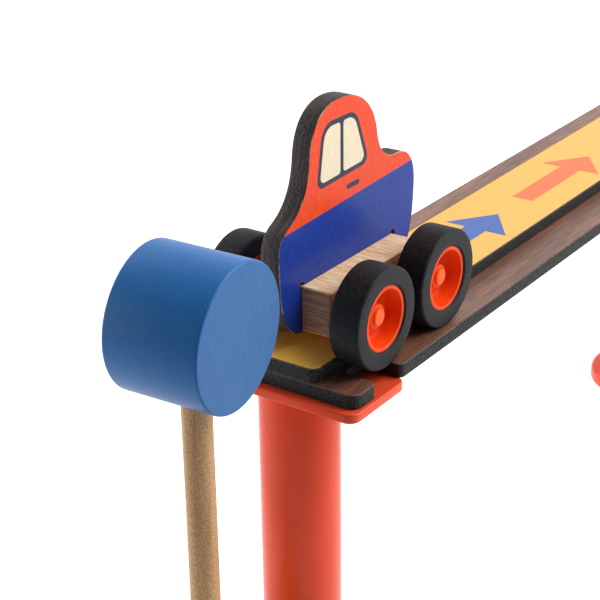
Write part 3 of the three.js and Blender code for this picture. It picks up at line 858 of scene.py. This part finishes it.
# A satin orange-red that glows in the dish, where light goes from wall to wall; the caps take a lighter
# copy of it, a painted highlight.
orange_hub = hub_plastic(
    "moulded_satin_orange_hub", 4.0, "#f45413", "#ec430b", Roughness=0.42, Specular_IOR_Level=0.12
)
cap_highlight_paint = hub_plastic(
    "painted_highlight_push_caps", 3.0, "#f76820", "#f15a17", Roughness=0.36, Specular_IOR_Level=0.2
)

# %% Section of the tyre
# Sections are (radius, distance from the tyre's inner face, corner radius).
WHEEL_RADIUS, TYRE_WIDTH = 15.0, 9.8
INNER_SHOULDER, OUTER_SHOULDER = 1.1, 0.75
TYRE_BORE, LIP_BORE, LIP_RADIUS = 9.32, 9.72, 10.2
BORE_EDGE, LIP_EDGE = 0.2, 0.15
RIM_SEAT, RIM_FACE = 8.28, 9.3
tyre_profile = rounded([
    (TYRE_BORE, 0, BORE_EDGE),
    (WHEEL_RADIUS, 0, INNER_SHOULDER),
    (WHEEL_RADIUS, TYRE_WIDTH, OUTER_SHOULDER),
    (LIP_RADIUS, TYRE_WIDTH, LIP_EDGE),
    (LIP_BORE, RIM_FACE, 0),
    (LIP_BORE, RIM_SEAT, 0),
    (TYRE_BORE, RIM_SEAT, 0),
])
print("tyre", 2 * WHEEL_RADIUS, "mm across and", TYRE_WIDTH, "mm wide")

# %% Sections of hub and push cap
AXLE_BORE = 1.52
BOSS_RADIUS, BOSS_BACK, BOSS_FACE = 3.6, -3.9, 6.6
WEB_BACK, WEB_FACE = 2.4, 3.5
BARREL_INNER, BARREL_OUTER = 8.5, 9.3
RIM_RADIUS, RIM_BACK = 9.7, 8.3
DISH_RADIUS, DISH_ROUND = 8.1, 1.8
BOSS_FOOT, BOSS_ROUND = 3.75, 0.6
MOULD_EDGE, BARREL_EDGE = 0.3, 0.2
hub_profile = rounded([
    (AXLE_BORE, BOSS_BACK, 0),
    (BOSS_RADIUS, BOSS_BACK, MOULD_EDGE),
    (BOSS_RADIUS, WEB_BACK, MOULD_EDGE),
    (BARREL_INNER, WEB_BACK, MOULD_EDGE),
    (BARREL_INNER, 0, BARREL_EDGE),
    (BARREL_OUTER, 0, BARREL_EDGE),
    (BARREL_OUTER, RIM_BACK, 0),
    (RIM_RADIUS, RIM_BACK, 0),
    (RIM_RADIUS, RIM_FACE, MOULD_EDGE),
    (BARREL_INNER, RIM_FACE, MOULD_EDGE),
    (DISH_RADIUS, WEB_FACE, DISH_ROUND),
    (BOSS_FOOT, WEB_FACE, BOSS_ROUND),
    (BOSS_RADIUS, BOSS_FACE, MOULD_EDGE),
    (AXLE_BORE, BOSS_FACE, 0),
], 4)
CAP_RADIUS, CAP_ROUND = 2.5, 0.35
CAP_BACK, CAP_ROOF, CAP_FACE = 6.62, 7.12, 7.5
cap_profile = rounded([
    (0, CAP_ROOF, 0),
    (AXLE_BORE, CAP_ROOF, 0),
    (AXLE_BORE, CAP_BACK, 0),
    (CAP_RADIUS, CAP_BACK, 0),
    (CAP_RADIUS, CAP_FACE, CAP_ROUND),
    (0, CAP_FACE, 0),
], 5)
print("hub dish is", round(RIM_FACE - WEB_FACE, 1), "mm deep, cap", 2 * CAP_RADIUS, "mm across")

# %% Four wheels
HUB_STEPS = 72
CAP_STEPS = 48
for axle in ("rear", "front"):
    for hand, along, sign in (("left", ALONG_LEFT, -1), ("right", ALONG_RIGHT, 1)):
        name = f"{axle}_{hand}"
        body = f"{axle}_wheelset"
        low, high = [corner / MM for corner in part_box(f"{name}_tyre")]
        inner_face = min(abs(low.x), abs(high.x)) * sign
        centre = (inner_face, (low.y + high.y) / 2, (low.z + high.z) / 2)
        tyre = shift(turned(tyre_profile), along, centre)
        dress(f"rubber_tyre_{name}", tyre, body, [rubber], [f"{name}_tyre"])
        hub = shift(turned(hub_profile, HUB_STEPS), along, centre)
        dress(f"moulded_hub_{name}", hub, body, [orange_hub], [f"{name}_hub"])
        button = shift(turned(cap_profile, CAP_STEPS), along, centre)
        dress(f"push_cap_{name}", button, body, [cap_highlight_paint], [f"{name}_cap"])

# %% [markdown]
# ## Hammer
# The head is a turned wooden cylinder in blue paint. Along its side the paint lies smooth and faintly
# mottled; on its two faces the end grain drinks it in and stays matt. A turned profile gives both faces
# and the small round between them. The handle is a beech dowel, round at its lower end, that goes up into
# the head and swings on a steel pin in a wooden base.

# %% Blue painted wood
def painted_wood(name, pore_size, band_size, depth, colours, **values):
    """Thin paint on wood, in a pale ground, deeper bands and dark pores of sizes and depth in millimetres."""
    ground, band, pore = colours
    wood, tree, shader, place = new_finish(name, **values)
    pores = streaks(tree, place, pore_size, detail=3.0)
    bands = streaks(tree, place, band_size, detail=2.0)
    coats(tree, shader, ground, (bands, band), (pores, pore))
    add(tree, "ShaderNodeBump", {
        "Height": pores,
        "Distance": depth * MM,
        "Strength": 0.5,
    }, shader.inputs["Normal"])
    print(name, "has pores", min(pore_size), "mm wide")
    return wood


# The side has a soft gloss and hardly any grain; the end grain is paler and matt, with fine saw lines.
# Pores are drawn at about 0.5 mm, coarser than they are, so that they show.
blue_side = painted_wood(
    "blue_stained_painted_wood", (1.4, 0.45, 0.45), (30.0, 6.0, 14.0), 0.03,
    ("#2670b5", "#2068ac", "#1d64a7"), Roughness=0.4, Specular_IOR_Level=0.31
)
blue_end = painted_wood(
    "blue_stained_end_grain", (0.5, 0.5, 0.5), (20.0, 0.7, 12.0), 0.05,
    ("#507bb0", "#4571a5", "#40689c"), Roughness=0.7, Specular_IOR_Level=0.15
)

# %% Head
HEAD_RADIUS = 20.5
HEAD_LENGTH = 28.5
HEAD_EDGE = 0.7
HEAD_STEPS = 128
HEAD_YAW = Matrix.Rotation(math.radians(5.8), 4, "Z")
HEAD_LEAN = Matrix.Rotation(math.radians(1.7), 4, "Y")
PAINTED_SIDE, END_GRAIN = 0, 1
head_low, head_high = [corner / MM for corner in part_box("hammer_head")]
barrel = turned(rounded([
    (0, -HEAD_LENGTH / 2, 0),
    (HEAD_RADIUS, -HEAD_LENGTH / 2, HEAD_EDGE),
    (HEAD_RADIUS, HEAD_LENGTH / 2, HEAD_EDGE),
    (0, HEAD_LENGTH / 2, 0),
]), HEAD_STEPS)
barrel.normal_update()
for face in barrel.faces:
    face.material_index = END_GRAIN if abs(face.normal.z) > 0.99 else PAINTED_SIDE
barrel = shift(barrel, HEAD_YAW @ HEAD_LEAN @ ALONG_RIGHT, (head_low + head_high) / 2)
dress("blue_hammer_head", barrel, "hammer", [blue_side, blue_end], ["hammer_head"])

# %% Handle
DOWEL_RADIUS = 4.2
DOWEL_END_ROUND = 4.15
DOWEL_DEPTH = 1.5
DOWEL_STEPS = 64
handle_low, handle_high = [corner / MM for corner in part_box("hammer_handle")]
dowel_top = head_low.z + DOWEL_DEPTH
dowel = turned(rounded([
    (0, handle_low.z, 0),
    (DOWEL_RADIUS, handle_low.z, DOWEL_END_ROUND),
    (DOWEL_RADIUS, dowel_top, 0),
    (0, dowel_top, 0),
], 10), DOWEL_STEPS)
dowel_axis = (handle_low + handle_high) / 2
dowel_axis.z = 0
dowel = shift(dowel, place=dowel_axis)
dress("beech_dowel", dowel, "hammer", [beech_upright], ["hammer_handle"])

# %% [markdown]
# ## Pieces that stay as they are
# The axles, the pivot pin and the slotted base are right as the CAD model has them. They could be built
# again here, but they only need their finishes: drawn steel for the rods, beech for the base.

# %% Steel and base
# Drawing leaves fine scratches along a rod, which spread its bright reflections into a soft grey line.
# They are drawn at 0.25 mm, coarser than they are, so that they show.
STEEL_SCRATCHES = (12.0, 0.25, 0.25)
steel, tree, shader, place = new_finish("drawn_steel_rod", Metallic=1.0)
scratches = streaks(tree, place, STEEL_SCRATCHES)
coats(tree, shader, "#c8cacc", (scratches, "#a9abae"))
add(tree, "ShaderNodeMapRange", {
    "Value": scratches,
    "To Min": 0.38,
    "To Max": 0.24,
}, shader.inputs["Roughness"])
for node, finish in (
    ("front_axle", steel),
    ("rear_axle", steel),
    ("hammer_pin", steel),
    ("hammer_base", beech_base),
):
    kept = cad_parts[node]
    kept.data.materials.clear()
    kept.data.materials.append(finish)
    print(node, "is now", finish.name)
